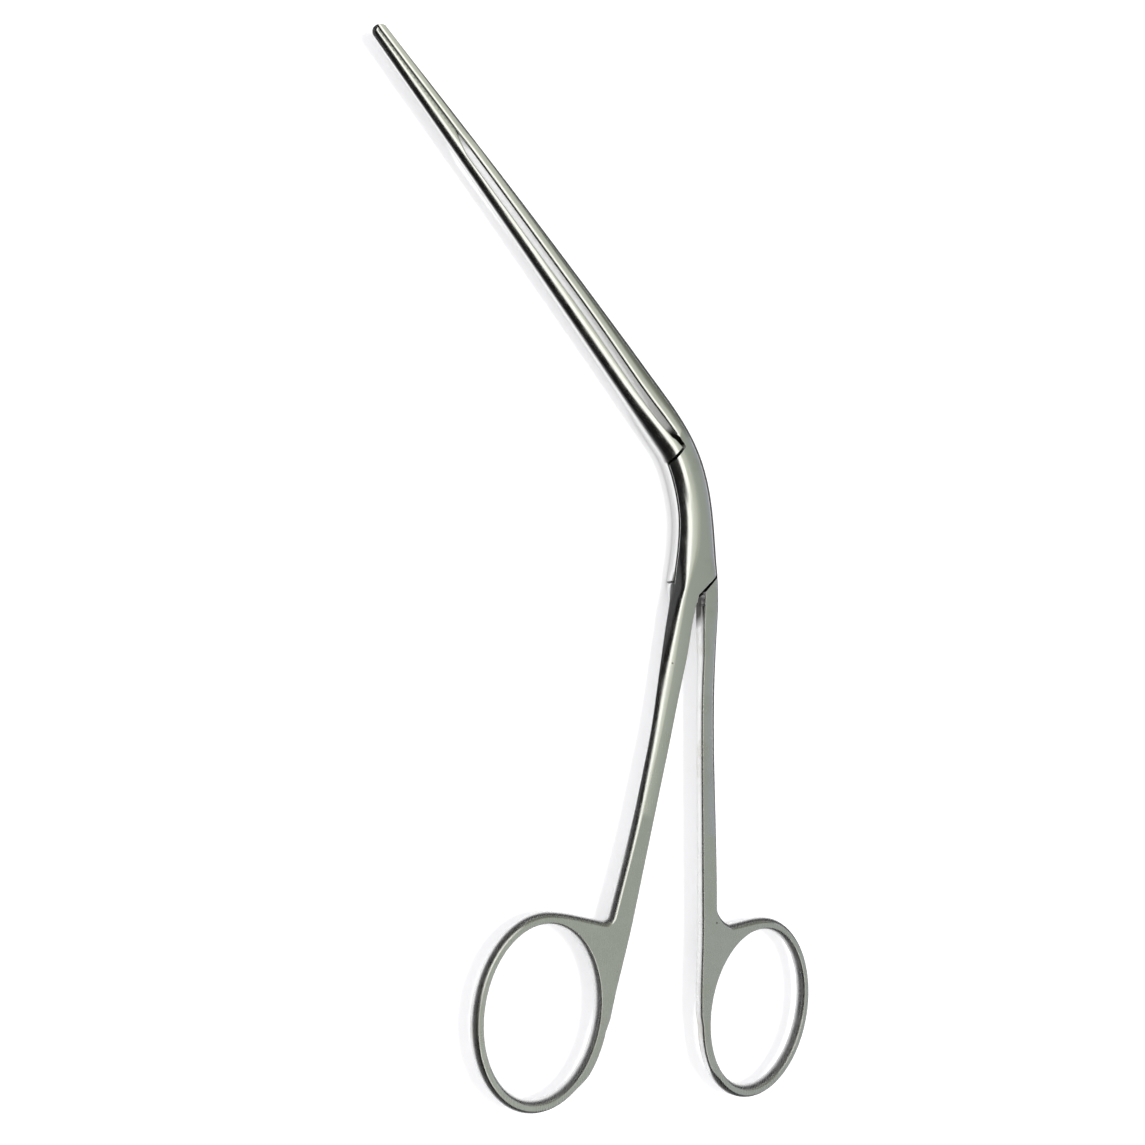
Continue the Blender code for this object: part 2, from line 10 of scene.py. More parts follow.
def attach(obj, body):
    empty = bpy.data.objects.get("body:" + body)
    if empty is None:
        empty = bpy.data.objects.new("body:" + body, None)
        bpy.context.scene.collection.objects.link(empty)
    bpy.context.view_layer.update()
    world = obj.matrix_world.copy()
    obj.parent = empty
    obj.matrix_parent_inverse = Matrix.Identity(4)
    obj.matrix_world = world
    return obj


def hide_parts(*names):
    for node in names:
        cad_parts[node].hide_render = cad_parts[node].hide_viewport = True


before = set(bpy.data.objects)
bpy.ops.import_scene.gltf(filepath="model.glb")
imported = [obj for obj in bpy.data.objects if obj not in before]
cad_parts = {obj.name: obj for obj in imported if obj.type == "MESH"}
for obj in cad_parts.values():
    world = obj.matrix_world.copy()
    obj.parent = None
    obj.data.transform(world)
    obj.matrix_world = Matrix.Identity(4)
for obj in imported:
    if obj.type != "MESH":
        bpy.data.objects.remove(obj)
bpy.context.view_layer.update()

bl_info = {
    "name": "Nasal Dressing Forceps",
    "version": (1, 0, 0),
    "blender": (4, 5, 0),
    "location": "View3D > Sidebar > Forceps",
    "description": "Builds the forceps' levers and rivet and the pale stage that they lie on",
    "category": "Add Mesh",
}

MM = 0.001

# Sizes in millimetres and degrees; pairs keyed -1 and 1 are for the left and the right side.
# Plan and jaws
JAW_ANGLE = 50.6
JAW_LENGTH = 87.2
ROOT = Vector((-4.47, 12.6))
HANDLE_AXIS_X = 1.15
JAW_RIGHT = (4.1, 1.1)              # root and tip, from the jaws' axis
JAW_LEFT = (3.9, 1.725)
NOSE_LENGTH = 1.2
JAW_CROWN = 0.88                    # how much of the half width the crown takes
NOSE_CROWN = 0.6
NOSE_CROWN_LENGTH = 8.0
JAW_HALF_THICKNESS = (2.1, 1.0)
BITE_TIP_ACROSS = -0.47             # the line of teeth leans to the left at the tip
TEETH_START = 1.0
TEETH_LENGTH = 18.7
TEETH_END = JAW_LENGTH - TEETH_START - TEETH_LENGTH
RELIEF_GAP = 1.5                    # between the jaws behind the teeth
RELIEF_OPENING = 4.5                # length over which it widens
RELIEF_ACROSS = -0.25
RELIEF_EDGE = {-1: (0.25, 0.25), 1: (1.15, 0.68)}   # rounding of the relief's edges, across and down
GROOVE_SHARE = {-1: 0.3, 1: 1.0}    # how much of the teeth's edge rounding each jaw has
EDGE_ARC = (20.0, 70.0)             # part of a circle that rounds these edges, in degrees
EDGE_ARC_SPAN = math.cos(math.radians(EDGE_ARC[0])) - math.cos(math.radians(EDGE_ARC[1]))
HEEL_GAP = 1.1
HEEL_ACROSS = -0.88
HEEL_START = 4.0
HEEL_BEND = (7.0, 33.0)
JAW_HEEL = 1.5
JAW_SWELL = 16.0
BEND_START = {-1: 3.0, 1: 11.0}     # where each straight edge ends, in front of the jaw root

# Joint
JOINT_EDGE = {-1: 3.85, 1: 3.9}
JOINT_LEAN = {-1: -9.0, 1: 12.5}
BEND_FULLNESS = {-1: 0.8, 1: 1.25}
JOINT_HALF_THICKNESS = 2.6
MID_HEIGHT = 2.6
LAP_GAP = 0.3
SHOULDER_GAP = 0.46
SHOULDER_WEDGE = 4.0                # the gap at the front shank shoulder widens inwards by this angle
JOINT_ROUNDING = 3.2
CROWN_ARC = (42.0, 90.0)
JAW_ARC_START = 30.0
JAW_FLANK = 1.0                     # the jaws' crown starts this share of the half thickness down
JAW_FLANK_START = 4.0
NECK = (0.3, 1.0)                   # from pivot to crotch, where the joint's crown becomes the shank's
BACK_ROUNDING = 0.5
FRONT_JAW_SHOULDER = 104.0
BACK_JAW_SHOULDER = 130.0
FRONT_SHANK_SHOULDER = 40.0
BACK_SHANK_SHOULDER = 68.0
CROTCH_Y = -13.8
CROTCH_DEPTH = 1.2
HANDLE_TOP = CROTCH_Y - 1.0
CUT_CLEARANCE = 0.5
CUT_OVERLAP = 0.05

# Rivet
RIVET_RADIUS = 1.5
RIVET_HEAD_RADIUS = 1.9
RIVET_HEAD_DEPTH = 0.9
RIVET_LAND = 0.15                   # straight rim of the head
RIVET_SKIN = 0.9
RIVET_CLEARANCE = 0.06

# Handles; pairs of numbers are distances below the pivot that a change starts and ends at
SHANK_WIDTH = (4.25, 4.1)           # below the joint and at the ring
SHANK_SPLAY = 7.2
SHANK_TAPER_START = 0.55            # share of the shank's length
SHANK_INSIDE = 0.35
SHANK_ASIDE = 0.45                  # the inner edges lean to the right between these
SHANK_ASIDE_IN = (17.0, 26.0)
SHANK_ASIDE_OUT = (70.0, 84.0)
SHANK_WAIST = 1.15                  # the left shank is slimmer between these
SHANK_WAIST_IN = (14.0, 42.0)
SHANK_WAIST_OUT = (50.0, 78.0)
SHANK_BOW_RADIUS = 680.0
SHANK_BOW_Y = -44.0
SHANK_HALF_THICKNESS = 1.5
SHANK_ROUNDING = 1.8
SHANK_ARC = (46.0, 80.0)
SHANK_FLANK = 0.35                  # upright part of the shanks' sides, at the back
FLANK_STEP = 0.05
FLANK_SWELL = (8.0, 17.0)
HANDLE_BACK = 0.55                  # the handles' back lies this far below the mid plane
HANDLE_BACK_START = (11.5, 15.5)
SHANK_SWELL = (9.0, 34.0)
CROWN_END = 66.0
INNER_ROUNDING = 0.2                # along the edges that face the other handle
INNER_EDGE = (0.1, 0.6)             # across the shank, as shares of its width
INNER_RISE = 0.35
INNER_ARC = (25.0, 65.0)

# Finger rings
RING_OUT = 21.8                     # from the handles' axis and the pivot to the ring's centre
RING_DOWN = 84.6
RING_HALF_LENGTH = 13.6
RING_HALF_WIDTH = 10.3
RING_BAND = 1.8
RING_ROUNDING = 0.75
RING_RISE = 1.75
RING_ARC = (0.0, 62.0)
RING_LEAN = 5.4
RING_EDGE = (-0.25, 0.28)
RING_EDGE_RISE = 1.8
NOTCH = {-1: (0.9, -70.6), 1: (3.2, -71.0)}     # fillet size and height
PLATE_ANGLE = -4.0

# Facets, fine enough for a smooth highlight
CROWN_STEPS = 18
BACK_STEPS = 5
RING_STEPS = 180
BEND_STEPS = 44
NOTCH_STEPS = 16
JAW_STEPS = 36
SHANK_STEPS = 40
NOSE_STEPS = 24
RELIEF_STEPS = 24
RIM_STEPS = 8
EDGE_STEPS = 10
TURNED_STEPS = 96
CREASE_ANGLE = 32.0
GRAIN_TURN = 9.0                    # the grain turns into the jaw over this length, each way
FEWEST_FACES = 1000                 # a lever with fewer has lost its body in a cut

JAW_DIR = Vector((-math.sin(math.radians(JAW_ANGLE)), math.cos(math.radians(JAW_ANGLE))))
JAW_ACROSS = Vector((JAW_DIR.y, -JAW_DIR.x))
NOSE_START = JAW_LENGTH - NOSE_LENGTH
FAR = 60.0                          # past everything, for cutters

# Spots of painted shade on the low walls, and their radius: under the crotch, and at the jaws' heel
PAINTED_SHADE_SPOTS = (((1.5, -15.2, 2.0), 2.1), ((-6.9, 13.8, 2.3), 1.5))

# Camera, fitted to the photograph: 1145 x 1145, no shift
CAMERA_PLACE = (-102.55, -41.63, 150.1)
CAMERA_AXES = ((0.86803, 0.1174, 0.48243), (-0.18198, 0.97925, 0.08913), (-0.46196, -0.16517, 0.87139))
CAMERA_LENS = 31.284


def srgb(hex_colour, alpha=1.0):
    """A colour written as sRGB hex, turned to linear."""
    values = [int(hex_colour[i:i + 2], 16) / 255.0 for i in (1, 3, 5)]
    linear = [v / 12.92 if v <= 0.04045 else ((v + 0.055) / 1.055) ** 2.4 for v in values]
    return (*linear, alpha)


# Settings that a user would change

class ForcepsSizes(bpy.types.PropertyGroup):
    """Sizes of the small forms on the levers."""
    tooth_pitch: bpy.props.FloatProperty(
        name="Tooth pitch", description="Distance from tooth to tooth along the jaws",
        default=0.85 * MM, min=0.5 * MM, max=1.5 * MM, unit='LENGTH', precision=5)
    tooth_depth: bpy.props.FloatProperty(
        name="Tooth depth", description="Height of a tooth",
        default=0.45 * MM, min=0.1 * MM, max=0.6 * MM, unit='LENGTH', precision=5)
    bite_gap: bpy.props.FloatProperty(
        name="Bite gap", description="Gap between the closed teeth",
        default=0.32 * MM, min=0.1 * MM, max=0.5 * MM, unit='LENGTH', precision=5)
    groove_reach: bpy.props.FloatProperty(
        name="Groove reach", description="How far the jaws' meeting edges are rounded along the teeth",
        default=1.0 * MM, min=0.3 * MM, max=1.2 * MM, unit='LENGTH', precision=5)
    groove_depth: bpy.props.FloatProperty(
        name="Groove depth", description="How deep that rounding goes",
        default=0.6 * MM, min=0.1 * MM, max=0.8 * MM, unit='LENGTH', precision=5)


class ForcepsFinish(bpy.types.PropertyGroup):
    """Colours and finish of the steel and the stage."""
    steel: bpy.props.FloatVectorProperty(
        name="Steel", description="Colour of the satin-finished steel",
        default=srgb("#E7E7E6")[:3], size=3, min=0.0, max=1.0, subtype='COLOR')
    stain: bpy.props.FloatVectorProperty(
        name="Water stain", description="Colour of the faint stains on the steel",
        default=srgb("#C4C1B2")[:3], size=3, min=0.0, max=1.0, subtype='COLOR')
    satin: bpy.props.FloatProperty(
        name="Satin", description="Roughness of the satin finish",
        default=0.18, min=0.05, max=0.6, subtype='FACTOR')
    floor: bpy.props.FloatVectorProperty(
        name="Floor", description="Colour of the floor",
        default=srgb("#F1F1F4")[:3], size=3, min=0.0, max=1.0, subtype='COLOR')


def smooth_step(value, low, high):
    t = min(max((value - low) / (high - low), 0.0), 1.0)
    return t * t * (3.0 - 2.0 * t)


def mix(a, b, t):
    return a + (b - a) * t


def curve(start, start_dir, end, end_dir, steps, fullness=0.75):
    """Points between start and end on a smooth curve that is tangent to both directions."""
    pull = (end - start).length * fullness
    result = []
    for i in range(1, steps):
        t = i / steps
        h1 = 2 * t ** 3 - 3 * t ** 2 + 1
        h2 = t ** 3 - 2 * t ** 2 + t
        h3 = 3 * t ** 2 - 2 * t ** 3
        h4 = t ** 3 - t ** 2
        result.append(start * h1 + start_dir * pull * h2 + end * h3 + end_dir * pull * h4)
    return result


def down_by(side, degrees):
    """A direction down the handles, leaning outwards by some degrees."""
    a = math.radians(degrees)
    return Vector((side * math.sin(a), -math.cos(a)))


def jaw_point(along, across):
    """A point of the plan, along the jaws' axis from their root and across it to the right."""
    return ROOT + JAW_DIR * along + JAW_ACROSS * across


def jaw_edge_across(side, along):
    t = along / JAW_LENGTH
    if side > 0:
        return mix(*JAW_RIGHT, t * t)
    return mix(JAW_LEFT[1], JAW_LEFT[0], (1.0 - t) ** 1.5)


# Plan of the closed forceps

def ring_point(side, angle, grow=0.0):
    """A point on the ring's inner ellipse, grown by grow; angle 0 is its top end."""
    lean = math.radians(RING_LEAN)
    along = (RING_HALF_LENGTH + grow) * math.cos(angle)
    out = (RING_HALF_WIDTH + grow) * math.sin(angle)
    x = RING_OUT + along * math.sin(lean) + out * math.cos(lean)
    y = -RING_DOWN + along * math.cos(lean) - out * math.sin(lean)
    return Vector((HANDLE_AXIS_X + side * x, y))


def shank_tangent_angle():
    """Angle round the ring at which the shank's inner edge touches it."""
    splay = math.radians(SHANK_SPLAY + RING_LEAN)
    long_axis = RING_HALF_LENGTH + RING_BAND
    short_axis = RING_HALF_WIDTH + RING_BAND
    return math.atan2(-short_axis * math.cos(splay), -long_axis * math.sin(splay))


def shank_inner(y):
    """Distance of the shank's inner edge from the handles' axis."""
    touch = ring_point(1, shank_tangent_angle(), RING_BAND)
    x = touch.x - HANDLE_AXIS_X - math.tan(math.radians(SHANK_SPLAY)) * (y - touch.y)
    bow = max(y - SHANK_BOW_Y, 0.0)
    return x + bow ** 2 / (2.0 * SHANK_BOW_RADIUS) - SHANK_INSIDE


def shank_outer(y):
    ring_top = -RING_DOWN + RING_HALF_LENGTH
    at_ring = smooth_step(CROTCH_Y - y, SHANK_TAPER_START * (CROTCH_Y - ring_top), CROTCH_Y - ring_top)
    return shank_inner(y) + mix(*SHANK_WIDTH, at_ring)


def shank_shift(side, y, outer):
    """The shanks' own lean to the right, and the left one's slimmer waist."""
    if outer and side < 0:
        return SHANK_WAIST * smooth_step(-y, *SHANK_WAIST_IN) * (1.0 - smooth_step(-y, *SHANK_WAIST_OUT))
    if outer:
        return 0.0
    return SHANK_ASIDE * smooth_step(-y, *SHANK_ASIDE_IN) * (1.0 - smooth_step(-y, *SHANK_ASIDE_OUT))


def shank_point(side, y, outer):
    x = shank_outer(y) if outer else shank_inner(y)
    return Vector((HANDLE_AXIS_X + side * x + shank_shift(side, y, outer), y))


def handle_outline(side):
    """One handle's edge: down the outside, round the ring and up the inside to the crotch."""
    notch, notch_y = NOTCH[side]
    shank_end = notch_y + notch
    points = [shank_point(side, mix(HANDLE_TOP, shank_end, i / SHANK_STEPS), True) for i in range(SHANK_STEPS + 1)]
    down = (points[-1] - points[-2]).normalized()
    corner = shank_point(side, notch_y, True)
    first = math.radians(PLATE_ANGLE)
    ring_start = ring_point(side, first, RING_BAND)
    round_ring = (ring_point(side, first + 0.01, RING_BAND) - ring_start).normalized()
    outward = (ring_start - corner).normalized()
    plate = corner + outward * notch
    points += curve(points[-1], down, plate, outward, NOTCH_STEPS)
    points.append(plate)
    points += curve(plate, outward, ring_start, round_ring, NOTCH_STEPS, 1.0)
    last = shank_tangent_angle() + 2.0 * math.pi
    for i in range(RING_STEPS + 1):
        points.append(ring_point(side, mix(first, last, i / RING_STEPS), RING_BAND))
    bottom = points[-1].y
    for i in range(1, SHANK_STEPS + 1):
        points.append(shank_point(side, mix(bottom, CROTCH_Y - CROTCH_DEPTH, i / SHANK_STEPS), False))
    return points


def side_outline(side):
    """One side's edge of the closed forceps, from the nose down to the crotch."""
    points = []
    for i in range(JAW_STEPS + 1):
        along = mix(NOSE_START, BEND_START[side], i / JAW_STEPS)
        points.append(jaw_point(along, side * jaw_edge_across(side, along)))
    handle = handle_outline(side)
    middle = Vector((side * JOINT_EDGE[side], 0.0))
    lean = down_by(side, JOINT_LEAN[side])
    straight = (points[-1] - points[-2]).normalized()
    points += curve(points[-1], straight, middle, lean, BEND_STEPS, BEND_FULLNESS[side])
    points.append(middle)
    points += curve(middle, lean, handle[0], (handle[1] - handle[0]).normalized(), BEND_STEPS, 1.0)
    return points + handle


def forceps_outline():
    """Outline of the closed forceps, once round."""
    left = side_outline(-1)
    right = side_outline(1)
    nose = []
    low = -jaw_edge_across(-1, NOSE_START)
    high = jaw_edge_across(1, NOSE_START)
    for i in range(1, NOSE_STEPS):
        angle = math.pi * i / NOSE_STEPS
        across = 0.5 * (high + low) + 0.5 * (high - low) * math.cos(angle)
        nose.append(jaw_point(NOSE_START + NOSE_LENGTH * math.sin(angle), across))
    return left + right[::-1] + nose


# Section of the forged body

def half_thickness(p):
    along = (p - ROOT).dot(JAW_DIR)
    jaw = mix(*JAW_HALF_THICKNESS, min(max(along / JAW_LENGTH, 0.0), 1.0))
    height = mix(JOINT_HALF_THICKNESS, jaw, smooth_step(along, 0.0, JAW_SWELL))
    return mix(height, SHANK_HALF_THICKNESS, smooth_step(-p.y, *SHANK_SWELL))


def near_ring(p):
    """0 at the shank, 1 at the ring, where the crowned outside has become a rounded edge."""
    return smooth_step(-p.y, SHANK_SWELL[1], CROWN_END)


def rounding(p):
    """How far the crown reaches in from the edge at a point of the plan."""
    along = min(max((p - ROOT).dot(JAW_DIR), 0.0), JAW_LENGTH)
    half_width = 0.5 * (jaw_edge_across(-1, along) + jaw_edge_across(1, along))
    share = mix(NOSE_CROWN, JAW_CROWN, smooth_step(JAW_LENGTH - along, 0.0, NOSE_CROWN_LENGTH))
    jaw = min(share * half_width, JOINT_ROUNDING)
    neck = mix(jaw, SHANK_ROUNDING, smooth_step(p.y / CROTCH_Y, *NECK))
    return mix(neck, RING_ROUNDING, near_ring(p))


def inside_edge(p):
    """1 on a handle's inner edge, 0 on all outer edges."""
    if p.y > CROTCH_Y:
        return 0.0
    return smooth_step((shank_outer(p.y) - abs(p.x - HANDLE_AXIS_X)) / SHANK_WIDTH[0], *INNER_EDGE)


def crown_arc(p):
    """Angles round its arc that the crown starts and ends at."""
    in_jaw = smooth_step((p - ROOT).dot(JAW_DIR), 0.0, JAW_SWELL)
    in_handle = smooth_step(-p.y, *SHANK_SWELL)
    ring = near_ring(p)
    start = mix(mix(CROWN_ARC[0], JAW_ARC_START, in_jaw), SHANK_ARC[0], in_handle)
    end = mix(CROWN_ARC[1], SHANK_ARC[1], in_handle)
    return math.radians(mix(start, RING_ARC[0], ring)), math.radians(mix(end, RING_ARC[1], ring))


def edge_profile(p):
    """The edge's section at a point of the plan, from the back up: pairs of inset and height."""
    half = half_thickness(p)
    inside = inside_edge(p)
    reach = mix(rounding(p), INNER_ROUNDING, inside)
    in_handle = smooth_step(-p.y, *FLANK_SWELL)
    in_jaw = smooth_step((p - ROOT).dot(JAW_DIR), JAW_FLANK_START, JAW_SWELL)
    back = mix(half, HANDLE_BACK, smooth_step(-p.y, *HANDLE_BACK_START))
    rise = mix(half * mix(1.0, JAW_FLANK, in_jaw), half + back - SHANK_FLANK, in_handle)
    rise = mix(rise, RING_RISE, near_ring(p))
    rise = mix(rise, mix(INNER_ROUNDING, INNER_RISE, in_handle), inside)
    first, last = crown_arc(p)
    first = mix(first, math.radians(INNER_ARC[0]), inside)
    last = mix(last, math.radians(INNER_ARC[1]), inside)
    edge = mix(BACK_ROUNDING, SHANK_FLANK - FLANK_STEP, in_handle)
    profile = []
    for i in range(BACK_STEPS + 1):
        angle = 0.5 * math.pi * i / BACK_STEPS
        profile.append((edge * (1.0 - math.sin(angle)), edge * (1.0 - math.cos(angle)) - back))
    for i in range(CROWN_STEPS + 1):
        angle = mix(first, last, i / CROWN_STEPS)
        inset = reach * (math.cos(first) - math.cos(angle)) / (math.cos(first) - math.cos(last))
        height = rise * (math.sin(angle) - math.sin(first)) / (math.sin(last) - math.sin(first))
        profile.append((inset, half - rise + height))
    return profile


# Mesh building

def bridge_loops(bm, first, second):
    count = len(first)
    for i in range(count):
        j = (i + 1) % count
        bm.faces.new((first[i], first[j], second[j], second[i]))


def lofted(sections):
    """A closed solid through sections of the same count of points, in millimetres."""
    bm = bmesh.new()
    loops = [[bm.verts.new([c * MM for c in point]) for point in section] for section in sections]
    for lower, upper in zip(loops, loops[1:]):
        bridge_loops(bm, lower, upper)
    bm.faces.new(loops[0][::-1])
    bm.faces.new(loops[-1])
    return bm


def fill(bm, loop, below):
    plan = [Vector((v.co.x, v.co.y)) / MM for v in loop]
    _, _, triangles, origin, _, _ = delaunay_2d_cdt(plan, [], [list(range(len(loop)))], 1, 1e-7)
    for corners in triangles:
        ids = [origin[c][0] for c in corners]
        bm.faces.new([loop[i] for i in (reversed(ids) if below else ids)])


def forged_body():
    """The closed forceps as one body with crowned sides."""
    outline = forceps_outline()
    count = len(outline)
    inward = []
    for i in range(count):
        direction = (outline[(i + 1) % count] - outline[i - 1]).normalized()
        inward.append(Vector((-direction.y, direction.x)))
    profiles = [edge_profile(p) for p in outline]
    bm = bmesh.new()
    loops = []
    for level in range(len(profiles[0])):
        loop = []
        for p, n, profile in zip(outline, inward, profiles):
            inset, height = profile[level]
            q = p + n * inset
            loop.append(bm.verts.new((q.x * MM, q.y * MM, (MID_HEIGHT + height) * MM)))
        loops.append(loop)
    for lower, upper in zip(loops, loops[1:]):
        bridge_loops(bm, lower, upper)
    fill(bm, loops[0], True)
    fill(bm, loops[-1], False)
    return bm


def loose_object(name, bm):
    mesh = bpy.data.meshes.new(name)
    bm.to_mesh(mesh)
    bm.free()
    obj = bpy.data.objects.new(name, mesh)
    bpy.context.scene.collection.objects.link(obj)
    return obj


def prism(name, points, low, high):
    """A cutter: the outline points between two heights."""
    area = sum(a.x * b.y - b.x * a.y for a, b in zip(points, points[1:] + points[:1]))
    if area < 0.0:
        points = points[::-1]
    return loose_object(name, lofted([(p.x, p.y, height) for p in points] for height in (low, high)))


def turned(profile, steps):
    """A solid of revolution about the pivot's axis; the profile is (radius, height)."""
    angles = [2.0 * math.pi * i / steps for i in range(steps)]
    return lofted([(radius * math.cos(a), radius * math.sin(a), height) for a in angles] for radius, height in profile)


def cut_and_apply(target, cutters):
    """Cut the target with each (object, solver) and keep the result as plain mesh."""
    for cutter, solver in cutters:
        modifier = target.modifiers.new(cutter.name, 'BOOLEAN')
        modifier.operation = 'DIFFERENCE'
        modifier.solver = solver
        modifier.object = cutter
    graph = bpy.context.evaluated_depsgraph_get()
    mesh = bpy.data.meshes.new_from_object(target.evaluated_get(graph))
    target.modifiers.clear()
    old = target.data
    target.data = mesh
    bpy.data.meshes.remove(old)
    for cutter, _ in cutters:
        bpy.data.objects.remove(cutter, do_unlink=True)
    if len(mesh.polygons) < FEWEST_FACES:
        raise RuntimeError(f"{target.name}: a cut left an empty body")


# Parting lines between the levers

def meet(p, p_dir, q, q_dir):
    """Where two lines of the plan cross."""
    det = p_dir.x * q_dir.y - p_dir.y * q_dir.x
    t = ((q.x - p.x) * q_dir.y - (q.y - p.y) * q_dir.x) / det
    return p + p_dir * t


def turn(direction, degrees):
    a = math.radians(degrees)
    return Vector((direction.x * math.cos(a) - direction.y * math.sin(a),
                   direction.x * math.sin(a) + direction.y * math.cos(a)))


def bite_across(along):
    """Where the line of teeth lies across the jaws' axis."""
    return BITE_TIP_ACROSS * (along - TEETH_END) / (JAW_LENGTH - TEETH_END)


def relief_edge(side, along):
    """Edge of the relief behind the teeth, across the jaws' axis."""
    heel = 1.0 - smooth_step(along, *HEEL_BEND)
    narrow = 1.0 - smooth_step(along, HEEL_START, HEEL_BEND[0])
    return mix(RELIEF_ACROSS, HEEL_ACROSS, heel) + side * 0.5 * mix(RELIEF_GAP, HEEL_GAP, narrow)


def jaw_edge(side, sizes):
    """Inner edge of one jaw, from past the tip to the heel of the relief."""
    pitch = sizes.tooth_pitch / MM
    depth = sizes.tooth_depth / MM
    half = side * 0.5 * sizes.bite_gap / MM
    along = JAW_LENGTH - TEETH_START
    points = [jaw_point(along + FAR, bite_across(along) + half), jaw_point(along, bite_across(along) + half)]
    for _ in range(round(TEETH_LENGTH / pitch)):
        valley = along - 0.5 * pitch
        along -= pitch
        points.append(jaw_point(valley, bite_across(valley) + half - depth))
        points.append(jaw_point(along, bite_across(along) + half))
    along -= RELIEF_OPENING
    for i in range(RELIEF_STEPS + 1):
        place = mix(along, HEEL_START, i / RELIEF_STEPS)
        points.append(jaw_point(place, relief_edge(side, place)))
    return points


def jaw_shoulder(side, offset):
    outward = turn(JAW_DIR, -side * (BACK_JAW_SHOULDER if side > 0 else FRONT_JAW_SHOULDER))
    return jaw_point(JAW_HEEL, 0.0) + turn(outward, side * 90.0) * offset, outward


def handle_shoulder(side, offset):
    """Line of the shoulder at one shank: a point on it and its direction outwards."""
    degrees = FRONT_SHANK_SHOULDER if side > 0 else BACK_SHANK_SHOULDER
    outward = Vector((side * math.sin(math.radians(degrees)), math.cos(math.radians(degrees))))
    start = shank_point(-side, CROTCH_Y, False) + turn(outward, -side * 90.0) * offset
    if side < 0 or offset < 0.0:
        return start, outward
    length = (shank_point(side, CROTCH_Y, True) - start).dot(outward)
    wedged = turn(outward, side * SHOULDER_WEDGE)
    return start + (outward - wedged) * length, wedged


def shank_inner_edge(side, top):
    """Edge of the cut below a shoulder: down one shank's inner edge, then clear of it."""
    low = CROTCH_Y - CROTCH_DEPTH
    steps = 4
    points = [shank_point(side, mix(top, low + 0.6 * CUT_CLEARANCE, i / steps), False) for i in range(steps + 1)]
    points.append(Vector((HANDLE_AXIS_X + side * (shank_inner(low) - CUT_CLEARANCE), low - CUT_CLEARANCE)))
    points.append(Vector((HANDLE_AXIS_X, -RING_DOWN - FAR)))
    return points


def shank_meets(side, start, direction):
    """Where a line meets one shank's inner edge."""
    point = start.copy()
    for _ in range(20):
        x = HANDLE_AXIS_X + side * shank_inner(point.y)
        point = start + direction * ((x - start.x) / direction.x)
    return point


def shoulder_cut(side, shank, offset):
    """A shank shoulder's cut: its far end, and its edge from the crotch down one shank's inner side."""
    shoulder, outward = handle_shoulder(side, offset)
    crotch = shank_meets(shank, shoulder, outward)
    return crotch + outward * FAR, [crotch] + shank_inner_edge(shank, crotch.y)[1:]


def parting_outlines(side, sizes):
    """Plans of what is cut from the lever whose jaw is on the given side."""
    half_gap = 0.5 * SHOULDER_GAP
    edge = jaw_edge(side, sizes)
    last = edge[-1]
    last_dir = (edge[-1] - edge[-2]).normalized()
    other = -side
    far_side = Vector((other * FAR * 2.5, 0.0))
    far_own = Vector((side * FAR * 2.5, 0.0))

    shoulder, outward = jaw_shoulder(other, -half_gap)
    heel = meet(last, last_dir, shoulder, outward)
    past = heel + outward * FAR
    jaw_side = edge + [heel, past, past + JAW_DIR * 2.0 * FAR]

    past, inner = shoulder_cut(side, other, -half_gap)
    shank_side = [past] + inner + [Vector((far_own.x, inner[-1].y)), Vector((far_own.x, past.y))]

    shoulder, outward = jaw_shoulder(side, half_gap)
    heel = meet(last, last_dir, shoulder, outward)
    past = heel + outward * FAR
    lap = edge + [heel, past, Vector((far_own.x, past.y))]
    past, inner = shoulder_cut(other, other, half_gap)
    lap += [Vector((far_own.x, inner[-1].y))] + inner[::-1]
    lap += [past, Vector((far_side.x, past.y)), Vector((far_side.x, edge[0].y + FAR))]
    lap.append(Vector((edge[0].x, edge[0].y + FAR)))
    return jaw_side, shank_side, lap


def inner_rounding(name, side, sizes):
    """Cutter that rounds one jaw's inner edge on the front, along the teeth and the relief."""
    half_gap = side * 0.5 * sizes.bite_gap / MM
    share = GROOVE_SHARE[side]
    stations = []
    for i in range(9):
        along = mix(JAW_LENGTH + NOSE_LENGTH, TEETH_END, i / 8)
        stations.append((along, bite_across(along) + half_gap,
                         share * sizes.groove_reach / MM, share * sizes.groove_depth / MM))
    for i in range(17):
        along = mix(TEETH_END - RELIEF_OPENING, HEEL_START, i / 16)
        stations.append((along, relief_edge(side, along), *RELIEF_EDGE[side]))
    # runs out to nothing in front of the heel
    stations.append((HEEL_START - 1.0, relief_edge(side, HEEL_START) - side * 0.2, 0.05, 0.05))
    first = math.radians(EDGE_ARC[0])
    sections = []
    for along, edge, reach, depth in stations:
        top = MID_HEIGHT + half_thickness(jaw_point(along, 0.0)) - crown_drop(along, edge + side * reach)
        section = []
        for i in range(EDGE_STEPS + 1):
            angle = math.radians(mix(*EDGE_ARC, i / EDGE_STEPS))
            across = (math.cos(first) - math.cos(angle)) / EDGE_ARC_SPAN
            rise = (math.sin(angle) - math.sin(first)) / EDGE_ARC_SPAN
            section.append((edge + side * reach * across, top - depth * (1.0 - rise)))
        section.append((edge + side * (reach + 0.3), top + 1.0))
        section.append((edge - side * 0.5, top + 1.0))
        section.append((edge - side * 0.5, top - depth))
        sections.append([(*jaw_point(along, across), height) for across, height in section])
    bm = lofted(sections)
    bmesh.ops.recalc_face_normals(bm, faces=bm.faces[:])
    return loose_object(name, bm)


